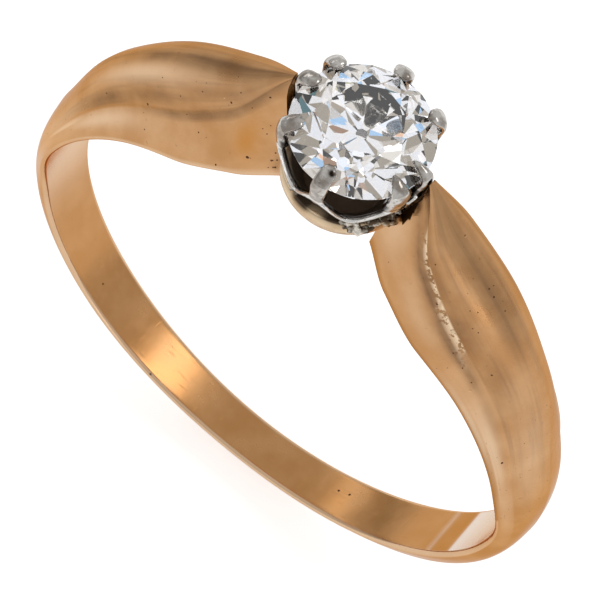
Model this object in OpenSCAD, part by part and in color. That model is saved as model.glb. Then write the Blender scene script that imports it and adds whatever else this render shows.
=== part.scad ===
// Solitaire engagement ring: a rose gold shank with pinched shoulders, a yellow gold
// under-bezel, a white metal crown of eight claws and an old European cut diamond.
// Millimetres. The origin is the centre of the finger bore, the finger lies along Y
// and the stone is at the top, +Z. Angles along the hoop run from 0 at the bottom,
// opposite the stone, to 180 at the top; bearings run around +Z from +X.

/* [Finger bore] */
// Inside diameter of the shank
bore_d = 17.4; // [15:0.1:21]
// Bevel worn on both edges of the bore
bore_bevel = 0.15; // [0.05:0.01:0.25]

/* [Back of the hoop] */
// Width of the hoop at the bottom
back_w = 1.62; // [1.4:0.02:2.4]
// Metal above the bore at the bottom
back_h = 1.38; // [1.1:0.02:1.8]
// Height of the side wall at the bottom
back_wall_h = 0.5; // [0.3:0.05:0.8]
// Width across the top of the side walls at the bottom
back_top_w = 1.12; // [0.9:0.02:1.4]

/* [Quarter of the hoop] */
// Angle of the quarter, halfway up to the side
quarter_at = 45; // [35:1:55]
// Width of the hoop there
quarter_w = 1.88; // [1.5:0.02:2.4]
// Metal above the bore there
quarter_h = 1.26; // [1:0.02:1.6]
// Height of the side wall there
quarter_wall_h = 0.56; // [0.3:0.02:0.7]
// Width across the top of the side walls there
quarter_top_w = 1.34; // [1:0.02:1.5]

/* [Side of the hoop] */
// Angle of the hoop's slimmest place
side_at = 80; // [70:1:90]
// Width of the hoop there
side_w = 2.08; // [1.6:0.02:2.6]
// Metal above the bore there
side_h = 0.8; // [0.72:0.02:1.2]
// Height of the side wall there
side_wall_h = 0.6; // [0.3:0.02:0.7]
// Width across the top of the side walls there
side_top_w = 1.6; // [1.2:0.02:1.8]

/* [Spring of the shoulders] */
// Angle where the shoulders begin to rise
spring_at = 110; // [105:1:120]
// Width of the shank there
spring_w = 3.3; // [2.6:0.05:3.6]
// Metal above the bore there
spring_h = 1; // [0.9:0.02:1.5]
// Height of the side wall there
spring_wall_h = 0.4; // [0.3:0.02:0.8]
// Width across the top of the side walls there
spring_top_w = 2.3; // [1.8:0.05:2.5]

/* [Rise of the shoulders] */
// Angle halfway up the rise
rise_at = 135; // [128:1:138]
// Width of the shank there
rise_w = 3.36; // [2.8:0.02:3.7]
// Metal above the bore there
rise_h = 2.04; // [1.7:0.02:2.4]
// Height of the pinched flank there
rise_flank_h = 0.82; // [0.6:0.02:1.2]
// Width of the face between the flanks there
rise_top_w = 2.04; // [1.7:0.02:2.4]

/* [Crest of the shoulders] */
// Angle of the broadest place
crest_at = 150; // [142:1:153]
// Width of the shank there
crest_w = 3.52; // [3:0.02:3.8]
// Metal above the bore there
crest_h = 2.86; // [2.4:0.02:3.2]
// Height of the pinched flank there
crest_flank_h = 1.34; // [1:0.02:1.8]
// Width of the face between the flanks there
crest_top_w = 2.2; // [1.8:0.02:2.6]

/* [Neck of the shoulders] */
// Angle where the flanks draw together
neck_at = 162; // [159:1:165]
// Width of the shank there
neck_w = 2.6; // [2.2:0.02:3]
// Metal above the bore there
neck_h = 3.56; // [3.2:0.02:3.9]
// Height of the pinched flank there
neck_flank_h = 2.44; // [2:0.02:2.9]
// Width of the face between the flanks there
neck_top_w = 1.78; // [1.3:0.02:2]

/* [Tips of the shoulders] */
// Angle of the tips
tip_at = 170; // [168:0.5:171]
// Width of the shank at the tips
tip_w = 1.02; // [0.8:0.02:1.4]
// Metal above the bore at the tips
tip_h = 4.4; // [4:0.05:4.6]
// Width left between the flanks at the tips
tip_top_w = 0.14; // [0.1:0.02:0.3]
// How much the flanks and the walls swell in the middle
flank_swell = 0.05; // [0:0.01:0.12]

/* [Diamond] */
// Diameter of the girdle
stone_d = 4.1; // [3.8:0.02:4.3]
// Height of the girdle's lower edge above the bore
stone_seat_h = 3.9; // [3.7:0.05:4.2]
// Thickness of the girdle
girdle_t = 0.08; // [0.04:0.01:0.14]
// Width of the table, corner to corner
table_d = 2.2; // [1.8:0.02:2.5]
// Angle of the crown mains
crown_angle = 35; // [30:0.5:38]
// Angle of the pavilion mains
pavilion_angle = 40.5; // [38:0.5:43]
// Width of the open culet
culet_d = 0.34; // [0.1:0.02:0.5]
// Reach of the star facets from the table towards the girdle
star_share = 0.45; // [0.35:0.01:0.6]
// Reach of the lower halves from the girdle towards the culet
lower_half_share = 0.6; // [0.5:0.01:0.75]
// Turn of the stone in its claws
stone_turn = 8; // [0:1:44]

/* [Crown] */
// Gap between the girdle and the claws
stone_gap = 0.01; // [0.005:0.005:0.03]
// Thickness of the crown's sheet
sheet_t = 0.2; // [0.15:0.01:0.26]
// Height of the wavy band between the claws
band_h = 0.27; // [0.2:0.01:0.4]
// Rise of the wavy band from its dips to the claws
wave_h = 0.95; // [0.6:0.05:1.1]
// Thickness of a claw outside the girdle
claw_t = 0.28; // [0.2:0.01:0.32]
// Width of a claw
claw_w = 0.58; // [0.4:0.02:0.64]
// Reach of the claw tips over the girdle
claw_reach = 0.3; // [0.2:0.02:0.45]
// Depth of the seat that a claw makes under the girdle
claw_seat = 0.14; // [0.08:0.01:0.2]
// Height above the girdle at which a claw bends over
claw_bend = 0.16; // [0.12:0.01:0.22]

/* [Under-bezel] */
// Height of its foot above the bore
bezel_foot_h = 1.1; // [0.8:0.05:1.4]
// Height of its broadest place above the bore
bezel_waist_h = 1.75; // [1.5:0.05:1.9]
// Height of its rim above the bore
bezel_rim_h = 2.1; // [2:0.05:2.3]
// Diameter of the foot
bezel_foot_d = 3.0; // [2.7:0.05:3.3]
// Diameter of the broadest place
bezel_waist_d = 3.86; // [3.8:0.02:3.96]
// Diameter of the rim
bezel_rim_d = 3.8; // [3.72:0.02:3.86]
// Wall and floor of the under-bezel
bezel_t = 0.3; // [0.2:0.01:0.4]
// Diameter of the hole in its floor
bezel_hole_d = 1.2; // [0.8:0.1:1.8]

/* [Solder] */
// Thickness of the solder between shoulder and under-bezel
solder_t = 0.08; // [0.04:0.01:0.12]
// Width of the soldered joint
solder_w = 0.9; // [0.6:0.05:1]
// Thickness of the solder under the crown
crown_solder_t = 0.05; // [0.03:0.01:0.08]
// Gap between the shoulder tips and the claws
tip_gap = 0.02; // [0.01:0.005:0.05]

/* [Hidden] */

rose_gold = [0.80, 0.58, 0.42];
yellow_gold = [0.90, 0.76, 0.50];
white_metal = [0.72, 0.71, 0.69];
stone_white = [0.90, 0.93, 0.97];
solder_grey = [0.70, 0.66, 0.50];

bore_r = bore_d / 2;
stone_r = stone_d / 2;
least = 0.01;
round_sides = 96;
bore_sides = 180;

// ---- Curves through named stations ----

// Slope of the curve through points (x, y) at point i: level where the curve turns,
// otherwise between its neighbours' slopes, so that it never overshoots a point
function rise_to(x, y, i) = (y[i] - y[i - 1]) / (x[i] - x[i - 1]);
function slope(x, y, i) =
    i == 0 ? 0
    : i == len(x) - 1 ? rise_to(x, y, i)
    : let (before = rise_to(x, y, i), after = rise_to(x, y, i + 1))
      before * after <= 0 ? 0 : 2 * before * after / (before + after);

// Cubic between points i and i + 1, and the whole curve at a place
function cubic(x, y, i, a) =
    let (w = x[i + 1] - x[i], t = (a - x[i]) / w)
    y[i] * (2 * t^3 - 3 * t^2 + 1) + y[i + 1] * (3 * t^2 - 2 * t^3)
    + slope(x, y, i) * w * (t^3 - 2 * t^2 + t) + slope(x, y, i + 1) * w * (t^3 - t^2);
function curve(x, y, a, i = 0) =
    i >= len(x) - 2 || a <= x[i + 1] ? cubic(x, y, i, a) : curve(x, y, a, i + 1);

// A closed skin over rings of equally many points; joined makes the last meet the first
function skin(rings, joined = false) =
    let (n = len(rings), m = len(rings[0]), last = joined ? n - 1 : n - 2)
    [[for (ring = rings) for (p = ring) p],
     concat(
        [for (i = [0:last]) for (j = [0:m - 1])
            let (k = (i + 1) % n, q = (j + 1) % m)
            for (f = [[i * m + j, k * m + q, k * m + j], [i * m + j, i * m + q, k * m + q]]) f],
        joined ? [] : [[for (j = [m - 1:-1:0]) j], [for (j = [0:m - 1]) (n - 1) * m + j]])];

// ---- Shank ----

stations = [0, quarter_at, side_at, spring_at, rise_at, crest_at, neck_at, tip_at];
half_ws = [back_w, quarter_w, side_w, spring_w, rise_w, crest_w, neck_w, tip_w] / 2;
top_ws = [back_top_w, quarter_top_w, side_top_w, spring_top_w,
          rise_top_w, crest_top_w, neck_top_w, tip_top_w] / 2;
wall_hs = [back_wall_h, quarter_wall_h, side_wall_h, spring_wall_h,
           rise_flank_h, crest_flank_h, neck_flank_h, tip_h];
crown_hs = [back_h, quarter_h, side_h, spring_h, rise_h, crest_h, neck_h, tip_h];

dome_steps = 5;
flank_steps = 3;
// The blank reaches this far into the bore, and its bevels start this far above it, so that
// the bore's cylinder cuts a clean edge
bore_cover = 0.4;
bore_land = 0.01;
shank_end = 172;
hoop_step = 2.5;

// One side of the section at hoop angle a, from the bore to the middle of the top:
// points (y, height above the bore)
function half_section(a) =
    let (w = curve(stations, half_ws, a),
         s = max(least, min(curve(stations, top_ws, a), w - least)),
         c = curve(stations, wall_hs, a), h = max(curve(stations, crown_hs, a), c))
    concat(
        [[w - bore_bevel, -bore_cover], [w - bore_bevel, bore_land], [w, bore_bevel]],
        [for (i = [1:flank_steps - 1])
            let (t = i / flank_steps, swell = flank_swell * sin(180 * t))
            [w + (s - w) * t + swell, bore_bevel + (c - bore_bevel) * t]],
        [for (i = [0:dome_steps - 1])
            let (t = 90 * i / dome_steps)
            [s * cos(t), c + (h - c) * sin(t)]]);

function section(a) =
    let (half = half_section(abs(a)), n = len(half),
         h = max(curve(stations, crown_hs, abs(a)), curve(stations, wall_hs, abs(a))))
    concat(half, [[0, h]], [for (i = [n - 1:-1:0]) [-half[i][0], half[i][1]]]);

// A point at height h above the bore, hoop angle a and place y along the finger
function on_hoop(a, y, h) = [(bore_r + h) * sin(a), y, -(bore_r + h) * cos(a)];

module shank_blank() {
    steps = floor(2 * shank_end / hoop_step);
    rings = [for (i = [0:steps])
        let (a = -shank_end + 2 * shank_end * i / steps)
        [for (p = section(a)) on_hoop(a, p[0], p[1])]];
    body = skin(rings);
    polyhedron(body[0], body[1], convexity = 6);
}

// What the shoulders' ends are cut back to: the under-bezel and the crown with their gaps
module collet_room() {
    top = bore_r + tip_h * 2;
    claw_r = stone_r + stone_gap + claw_t + tip_gap;
    rotate_extrude($fn = round_sides)
        polygon(concat(
            [[0, 0], [bezel_foot_d / 2 + solder_t, 0]],
            [for (p = bezel_outline()) [p[0] + solder_t, p[1]]],
            [[claw_r, bore_r + stone_seat_h - claw_seat * 3], [claw_r, top], [0, top]]));
}

module shank() {
    color(rose_gold)
    difference() {
        difference() {
            shank_blank();
            collet_room();
        }
        rotate([90, 0, 0]) cylinder(h = crest_w * 2, r = bore_r, center = true, $fn = bore_sides);
    }
}

// ---- Under-bezel ----

bezel_arc_steps = 7;

// Outer outline from the foot to the rim, points (radius, z)
function bezel_outline() =
    let (foot_r = bezel_foot_d / 2, waist_r = bezel_waist_d / 2)
    concat(
        [for (i = [0:bezel_arc_steps])
            let (t = 90 * i / bezel_arc_steps)
            [foot_r + (waist_r - foot_r) * sin(t),
             bore_r + bezel_waist_h - (bezel_waist_h - bezel_foot_h) * cos(t)]],
        [[bezel_rim_d / 2, bore_r + bezel_rim_h]]);

module under_bezel() {
    outline = bezel_outline();
    color(yellow_gold)
    rotate_extrude($fn = round_sides)
        polygon(concat(outline,
            [[bezel_rim_d / 2 - bezel_t, bore_r + bezel_rim_h],
             [bezel_waist_d / 2 - bezel_t, bore_r + bezel_waist_h],
             [bezel_foot_d / 2 - bezel_t, bore_r + bezel_foot_h + bezel_t],
             [bezel_hole_d / 2, bore_r + bezel_foot_h + bezel_t],
             [bezel_hole_d / 2, bore_r + bezel_foot_h]]));
}

// ---- Diamond ----

half_main = 22.5;
quarter_main = 11.25;
girdle_z = bore_r + stone_seat_h;
girdle_top_z = girdle_z + girdle_t;
table_r = table_d / 2;
culet_r = culet_d / 2;
table_z = girdle_top_z + (stone_r - table_r) * tan(crown_angle);
culet_z = girdle_z - (stone_r - culet_r * cos(half_main)) * tan(pavilion_angle);

// Star tips: where neighbouring crown mains meet, at half a main's turn
star_edge_r = table_r * cos(half_main);
star_tip_r = star_edge_r + star_share * (stone_r - star_edge_r);
star_tip_z = table_z - (star_tip_r * cos(half_main) - table_r) * tan(crown_angle);
upper_angle = atan((star_tip_z - girdle_top_z) / ((stone_r - star_tip_r) * cos(quarter_main)));
lower_tip_r = (1 - lower_half_share) * stone_r;
lower_angle = atan((stone_r - lower_tip_r * cos(half_main)) * tan(pavilion_angle)
                   / ((stone_r - lower_tip_r) * cos(quarter_main)));
lower_tip_z = girdle_z - (stone_r - lower_tip_r * cos(half_main)) * tan(pavilion_angle);

girdle_steps = 4;

// A point of the stone at radius r, bearing b and height z
function around(r, b, z) = [r * cos(b), r * sin(b), z];

// The girdle's edge dips between its sixteen corners, where a half facet cuts the cylinder
function girdle_dip(k) =
    stone_r * (cos(half_main * ((k % girdle_steps) / girdle_steps - 0.5)) - cos(quarter_main));

module diamond() {
    n = 16 * girdle_steps;
    step = 360 / n;
    main = 2 * girdle_steps;
    points = concat(
        [for (k = [0:n - 1])
            around(stone_r, step * k, girdle_top_z - girdle_dip(k) * tan(upper_angle))],
        [for (k = [0:n - 1])
            around(stone_r, step * k, girdle_z + girdle_dip(k) * tan(lower_angle))],
        [for (i = [0:7]) around(table_r, 45 * i, table_z)],
        [for (i = [0:7]) around(star_tip_r, 45 * i + half_main, star_tip_z)],
        [for (i = [0:7]) around(lower_tip_r, 45 * i + half_main, lower_tip_z)],
        [for (i = [0:7]) around(culet_r, 45 * i + half_main, culet_z)]);
    table = 2 * n;
    star = table + 8;
    lower = star + 8;
    culet = lower + 8;
    faces = concat(
        [[for (i = [7:-1:0]) table + i], [for (i = [0:7]) culet + i]],
        [for (i = [0:7]) let (next = (i + 1) % 8, prior = (i + 7) % 8, g = main * i)
            for (f = [
                [table + i, table + next, star + i],
                [table + i, star + i, g, star + prior],
                concat([star + i], [for (k = [girdle_steps:-1:0]) g + k]),
                concat([star + i], [for (k = [main:-1:girdle_steps]) (g + k) % n]),
                concat([lower + i], [for (k = [0:girdle_steps]) n + g + k]),
                concat([lower + i], [for (k = [girdle_steps:main]) n + (g + k) % n]),
                [n + g, lower + i, culet + i, culet + prior, lower + prior]])
            f],
        [for (k = [0:n - 1]) let (q = (k + 1) % n) [k, q, n + q, n + k]]);
    color(stone_white)
    rotate([0, 0, stone_turn])
        polyhedron(points, faces, convexity = 2);
}

// ---- Crown ----

// Bearings of the eight claws, set by hand and not quite even
claws = [0, 50, 96, 150, 177, 221, 275, 335];
claw_count = len(claws);
// How far the tip of each claw reaches inwards, against claw_reach
tip_reach = [1.3, 0.9, 0.8, 0.8, 1.2, 1.2, 1.35, 1.2];

crown_foot_z = bore_r + bezel_rim_h + crown_solder_t;
crown_foot_r = bezel_rim_d / 2;
claw_out_r = stone_r + stone_gap + claw_t;
broad_gap = 44;

// Outer radius of the crown's cone at height z
function cone_r(z) =
    crown_foot_r + (claw_out_r - crown_foot_r) * min(1, (z - crown_foot_z)
                                                     / (girdle_z - claw_seat * 2 - crown_foot_z));

// Next claw's bearing after claw i, and the claw before a bearing
function claw_after(i) = i + 1 < claw_count ? claws[i + 1] : claws[0] + 360;
function claw_before(b) = max([for (i = [0:claw_count - 1]) if (claws[i] <= b) i]);

// Lower edge of the wavy band at bearing b: it dips to the under-bezel in a broad gap
function band_z(b) =
    let (i = claw_before(b), gap = claw_after(i) - claws[i], u = (b - claws[i]) / gap,
         depth = wave_h * min(1, (gap / broad_gap)^2))
    crown_foot_z + wave_h - depth * (1 - cos(360 * u)) / 2;

band_stations = 144;

module crown_band() {
    rings = [for (k = [0:band_stations - 1])
        let (b = 360 * k / band_stations, z = band_z(b), soft = sheet_t / 4,
             low = cone_r(z), high = cone_r(z + band_h))
        [for (p = [[low, z + soft], [high, z + band_h - soft], [high - soft, z + band_h],
                   [high - sheet_t + soft, z + band_h], [high - sheet_t, z + band_h - soft],
                   [low - sheet_t, z + soft], [low - sheet_t + soft, z], [low - soft, z]])
            [p[0] * cos(b), p[0] * sin(b), p[1]]]];
    body = skin(rings, joined = true);
    polyhedron(body[0], body[1], convexity = 8);
}

claw_sides = 10;
tip_slope = 0.35;
tip_heading = 160;

// A rounded bar swept along a path in the plane of bearing b. Each stop of the path is
// [radius, z, heading, width, thickness]; heading 90 is straight up, 180 is inwards
module bar(b, path) {
    rings = [for (p = path)
        [for (j = [0:claw_sides - 1])
            let (t = 360 * j / claw_sides, across = p[3] / 2 * cos(t), out = p[4] / 2 * sin(t),
                 r = p[0] + out * sin(p[2]), z = p[1] - out * cos(p[2]))
            [r * cos(b) - across * sin(b), r * sin(b) + across * cos(b), z]]];
    body = skin(rings);
    polyhedron(body[0], body[1], convexity = 4);
}

module claw(i) {
    reach = claw_reach * tip_reach[i];
    foot_z = crown_foot_z + wave_h;
    root_z = foot_z + band_h;
    root_t = claw_t + claw_seat;
    mid_r = claw_out_r - claw_t / 2;
    bend_r = mid_r - claw_t / 2;
    bend_z = girdle_top_z + claw_bend;
    top_z = bend_z + claw_t / 3;
    rise = (reach + claw_seat) * tip_slope;
    bar(claws[i], [
        [cone_r(foot_z) - sheet_t / 2, foot_z + least, 82, claw_w * 0.8, sheet_t],
        [cone_r(root_z) - root_t / 2, root_z, 84, claw_w, root_t],
        [claw_out_r - root_t / 2, girdle_z - claw_seat, 90, claw_w, root_t],
        [mid_r, girdle_top_z, 95, claw_w, claw_t],
        [mid_r - claw_t / 8, bend_z, 120, claw_w, claw_t],
        [bend_r, top_z, 150, claw_w * 0.98, claw_t],
        [bend_r - reach * 0.6, top_z + rise * 0.6, tip_heading, claw_w * 0.9, claw_t],
        [bend_r - reach * 0.9, top_z + rise * 0.8, tip_heading, claw_w * 0.65, claw_t * 0.7],
        [bend_r - reach, top_z + rise * 0.85, tip_heading, claw_w * 0.3, claw_t * 0.35]]);
}

// The stone with its gap, as plain cones: it cuts the notches in the claws
module stone_room() {
    g = stone_gap;
    translate([0, 0, girdle_top_z + g])
        cylinder(h = table_z - girdle_top_z, r1 = stone_r + g, r2 = table_r + g, $fn = round_sides);
    translate([0, 0, girdle_z - g]) cylinder(h = girdle_t + 2 * g, r = stone_r + g, $fn = round_sides);
    translate([0, 0, culet_z - g])
        cylinder(h = girdle_z - culet_z, r1 = culet_r + g, r2 = stone_r + g, $fn = round_sides);
}

module crown() {
    color(white_metal)
    difference() {
        union() {
            crown_band();
            for (i = [0:claw_count - 1]) claw(i);
        }
        stone_room();
    }
}

// ---- Solder ----

// The film that fills the joint between a shoulder and the under-bezel
module joint_solder(bearing) {
    outline = bezel_outline();
    n = len(outline);
    color(solder_grey)
    rotate([0, 0, bearing])
    intersection() {
        rotate_extrude($fn = round_sides)
            polygon(concat(
                outline,
                [for (i = [n - 1:-1:0]) [outline[i][0] + solder_t, outline[i][1]]]));
        translate([0, -solder_w / 2, bore_r]) cube([stone_d, solder_w, bezel_rim_h]);
    }
}

module solder_left() joint_solder(180);
module solder_right() joint_solder(0);

pad_angle = 10;

// A pad under each broad dip of the crown
module crown_solder() {
    color(solder_grey)
    for (i = [0:claw_count - 1])
        if (claw_after(i) - claws[i] >= broad_gap)
            rotate([0, 0, (claws[i] + claw_after(i) - pad_angle) / 2])
                rotate_extrude(angle = pad_angle, $fn = round_sides)
                    translate([crown_foot_r - sheet_t, bore_r + bezel_rim_h])
                        square([sheet_t, crown_solder_t]);
}

shank();
under_bezel();
crown();
diamond();
solder_left();
solder_right();
crown_solder();
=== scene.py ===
"""Solitaire engagement ring: rose gold shank with pinched shoulders, yellow gold under-bezel,
white metal crown of eight claws and an old European cut diamond, in a plain studio.

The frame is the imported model's: the origin is the centre of the finger bore, +Z points to
the stone and the finger lies along Y. Shapes are worked out in millimetres and scaled once."""

import math
import random

import bmesh
import bpy
from mathutils import Matrix, Vector, noise

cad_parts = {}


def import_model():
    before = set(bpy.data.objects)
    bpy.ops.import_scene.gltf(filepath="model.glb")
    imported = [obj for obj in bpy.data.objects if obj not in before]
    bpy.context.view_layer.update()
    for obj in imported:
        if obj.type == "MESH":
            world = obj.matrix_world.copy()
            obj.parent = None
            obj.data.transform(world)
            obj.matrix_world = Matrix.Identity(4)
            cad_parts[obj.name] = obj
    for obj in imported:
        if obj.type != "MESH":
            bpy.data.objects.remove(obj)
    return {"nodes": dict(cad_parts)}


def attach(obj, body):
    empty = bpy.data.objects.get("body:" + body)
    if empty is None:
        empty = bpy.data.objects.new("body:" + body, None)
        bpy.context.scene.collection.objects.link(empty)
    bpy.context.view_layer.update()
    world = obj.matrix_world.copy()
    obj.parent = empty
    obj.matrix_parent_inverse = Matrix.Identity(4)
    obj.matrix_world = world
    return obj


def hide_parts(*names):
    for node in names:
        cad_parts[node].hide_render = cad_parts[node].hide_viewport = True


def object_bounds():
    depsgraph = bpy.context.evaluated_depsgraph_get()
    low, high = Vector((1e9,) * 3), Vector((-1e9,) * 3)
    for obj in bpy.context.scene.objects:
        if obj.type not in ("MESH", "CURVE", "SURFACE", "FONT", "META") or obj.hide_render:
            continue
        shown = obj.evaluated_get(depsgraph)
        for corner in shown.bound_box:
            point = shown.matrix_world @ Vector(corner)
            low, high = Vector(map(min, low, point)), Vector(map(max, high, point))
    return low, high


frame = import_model()
cad_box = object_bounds()
nodes = frame["nodes"]

MM = 0.001

# ---- Sizes, in millimetres, as in the part's source ----

BORE_R = 8.7
BORE_BEVEL = 0.15
FLANK_SWELL = 0.05
# Hoop angle from the bottom, half width, half width between the flanks' tops, height of
# the wall or flank, height of the metal above the bore
STATIONS = {
    "bottom": (0, 0.81, 0.56, 0.50, 1.38),
    "quarter": (45, 0.94, 0.67, 0.56, 1.26),
    "side": (80, 1.04, 0.80, 0.60, 0.80),
    "spring": (110, 1.65, 1.15, 0.40, 1.00),
    "rise": (135, 1.68, 1.02, 0.82, 2.04),
    "crest": (150, 1.76, 1.10, 1.34, 2.86),
    "neck": (162, 1.30, 0.89, 2.44, 3.56),
    "tip": (170, 0.51, 0.07, 4.40, 4.40),
}
ANGLES, HALF_WS, TOP_WS, WALL_HS, CROWN_HS = zip(*STATIONS.values())
SHANK_END = 172

STONE_R = 2.05
GIRDLE_Z = BORE_R + 3.9
GIRDLE_T = 0.08
STONE_GAP = 0.01
TIP_GAP = 0.02

BEZEL_FOOT = (1.5, BORE_R + 1.1)
BEZEL_WAIST = (1.93, BORE_R + 1.75)
BEZEL_RIM = (1.9, BORE_R + 2.1)
BEZEL_T = 0.3
BEZEL_HOLE_R = 0.6
SOLDER_T = 0.08
CROWN_SOLDER_T = 0.05

SHEET_T = 0.2
BAND_H = 0.27
WAVE_H = 0.95
CLAW_T = 0.28
CLAW_W = 0.58
CLAW_REACH = 0.3
CLAW_SEAT = 0.14
CLAW_BEND = 0.16
TIP_SLOPE = 0.35
CLAWS = (0, 50, 96, 150, 177, 221, 275, 335)
TIP_REACH = (1.3, 0.9, 0.8, 0.8, 1.2, 1.2, 1.35, 1.2)
BROAD_GAP = 44
CROWN_FOOT_Z = BEZEL_RIM[1] + CROWN_SOLDER_T
CLAW_OUT_R = STONE_R + STONE_GAP + CLAW_T


# ---- Small helpers ----

def lerp(a, b, t):
    return a + (b - a) * t


def smooth_step(a, b, v):
    t = max(0.0, min(1.0, (v - a) / (b - a)))
    return t * t * (3 - 2 * t)


def bell(v, middle, width):
    return math.exp(-((v - middle) / width) ** 2)


def add_mesh(name, points, faces, material, sharp=None):
    """A piece from millimetre points, riding on the root body."""
    mesh = bpy.data.meshes.new(name)
    mesh.from_pydata([Vector(p) * MM for p in points], [], faces)
    mesh.validate()
    piece = bpy.data.objects.new(name, mesh)
    bpy.context.scene.collection.objects.link(piece)
    for polygon in mesh.polygons:
        polygon.use_smooth = True
    if sharp is not None:
        mesh.set_sharp_from_angle(angle=math.radians(sharp))
    mesh.materials.append(material)
    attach(piece, "root")
    return piece


def rise_to(x, y, i):
    return (y[i] - y[i - 1]) / (x[i] - x[i - 1])


def slope(x, y, i):
    """Slope at station i: level where the curve turns, so that it never overshoots."""
    if i == 0:
        return 0.0
    before = rise_to(x, y, i)
    if i == len(x) - 1:
        return before
    after = rise_to(x, y, i + 1)
    return 0.0 if before * after <= 0 else 2 * before * after / (before + after)


def curve(y, angle):
    """The value at a hoop angle of the smooth curve through the stations."""
    i = 0
    while i < len(ANGLES) - 2 and angle > ANGLES[i + 1]:
        i += 1
    w = ANGLES[i + 1] - ANGLES[i]
    t = (angle - ANGLES[i]) / w
    return (y[i] * (2 * t**3 - 3 * t**2 + 1) + y[i + 1] * (3 * t**2 - 2 * t**3)
            + slope(ANGLES, y, i) * w * (t**3 - 2 * t**2 + t)
            + slope(ANGLES, y, i + 1) * w * (t**3 - t**2))


def on_hoop(angle, y, h):
    a = math.radians(angle)
    return ((BORE_R + h) * math.sin(a), y, -(BORE_R + h) * math.cos(a))


# ---- Materials ----

NOISE_ROUGHNESS = 0.55
FLOW_DETAIL = 4.0


class Nodes:
    """Short names for building one node tree."""

    def __init__(self, name):
        self.material = bpy.data.materials.new(name)
        self.material.use_nodes = True
        self.tree = self.material.node_tree
        self.shader = self.tree.nodes["Principled BSDF"]
        self.output = self.tree.nodes["Material Output"]
        self.where = self.add("ShaderNodeTexCoord").outputs["Object"]

    def add(self, kind, **settings):
        node = self.tree.nodes.new(kind)
        for key, value in settings.items():
            setattr(node, key, value)
        return node

    def link(self, a, b):
        self.tree.links.new(a, b)

    def noise(self, scale, detail, stretch=None):
        """Noise over the surface; scale counts its waves in a millimetre."""
        at = self.where
        if stretch:
            mapping = self.add("ShaderNodeMapping")
            mapping.inputs["Scale"].default_value = stretch
            self.link(at, mapping.inputs["Vector"])
            at = mapping.outputs["Vector"]
        node = self.add("ShaderNodeTexNoise")
        node.inputs["Scale"].default_value = scale / MM
        node.inputs["Detail"].default_value = detail
        node.inputs["Roughness"].default_value = NOISE_ROUGHNESS
        self.link(at, node.inputs["Vector"])
        return node.outputs["Fac"]

    def flow(self, across, along):
        """Noise that runs along the hoop and draws together where the shoulder narrows."""
        at = self.add("ShaderNodeCombineXYZ")
        self.link(self.math("MULTIPLY", self.attribute("across"), across), at.inputs["X"])
        self.link(self.math("MULTIPLY", self.attribute("along"), along), at.inputs["Y"])
        node = self.add("ShaderNodeTexNoise")
        node.inputs["Scale"].default_value = 1.0
        node.inputs["Detail"].default_value = FLOW_DETAIL
        self.link(at.outputs["Vector"], node.inputs["Vector"])
        return node.outputs["Fac"]

    def pits(self, scale, size):
        """Small round spots: 1 inside a spot, 0 outside."""
        node = self.add("ShaderNodeTexVoronoi")
        node.inputs["Scale"].default_value = scale / MM
        self.link(self.where, node.inputs["Vector"])
        return self.ramp(node.outputs["Distance"], size, size * 0.45)

    def attribute(self, name):
        return self.add("ShaderNodeAttribute", attribute_name=name).outputs["Fac"]

    def ramp(self, value, low, high, to_low=0.0, to_high=1.0):
        node = self.add("ShaderNodeMapRange", interpolation_type="SMOOTHSTEP")
        node.inputs["From Min"].default_value = low
        node.inputs["From Max"].default_value = high
        node.inputs["To Min"].default_value = to_low
        node.inputs["To Max"].default_value = to_high
        self.link(value, node.inputs["Value"])
        return node.outputs["Result"]

    def math(self, operation, a, b):
        node = self.add("ShaderNodeMath", operation=operation)
        for socket, value in zip(node.inputs, (a, b)):
            if isinstance(value, (int, float)):
                socket.default_value = value
            else:
                self.link(value, socket)
        return node.outputs["Value"]

    def mix(self, factor, a, b):
        node = self.add("ShaderNodeMix", data_type="RGBA")
        for socket, value in ((node.inputs[0], factor), (node.inputs[6], a), (node.inputs[7], b)):
            if isinstance(value, (int, float)):
                socket.default_value = value
            elif isinstance(value, tuple):
                socket.default_value = (*value, 1.0)
            else:
                self.link(value, socket)
        return node.outputs[2]

    def bump(self, height, depth, before=None):
        """Depth is the height, in millimetres, that a value of 1 stands for."""
        node = self.add("ShaderNodeBump")
        node.inputs["Strength"].default_value = 1.0
        node.inputs["Distance"].default_value = depth * MM
        self.link(height, node.inputs["Height"])
        if before is not None:
            self.link(before, node.inputs["Normal"])
        return node.outputs["Normal"]

    def set(self, **inputs):
        for name, value in inputs.items():
            socket = self.shader.inputs[name.replace("_", " ")]
            if isinstance(value, tuple):
                socket.default_value = (*value, 1.0)
            elif isinstance(value, (int, float)):
                socket.default_value = value
            else:
                self.link(value, socket)


ROSE_DEEP, ROSE_PALE = (0.57, 0.295, 0.125), (0.68, 0.39, 0.19)
ROSE_TINT = (0.86, 0.62, 0.42)
AMBER = (0.60, 0.27, 0.075)
STREAK_BROWN = (0.33, 0.19, 0.105)
HIGHLIGHT_PEACH = (0.97, 0.74, 0.52)
SHADE_AND_TARNISH_BROWN = (0.155, 0.088, 0.052)
RUBBED_HIGHLIGHT_COLOUR = (0.98, 0.76, 0.52)
PAINTED_FLASH_WHITE = (1.0, 0.98, 0.96)
SPOT_DARK = (0.07, 0.03, 0.015)
BURNT = (0.022, 0.012, 0.008)


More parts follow.
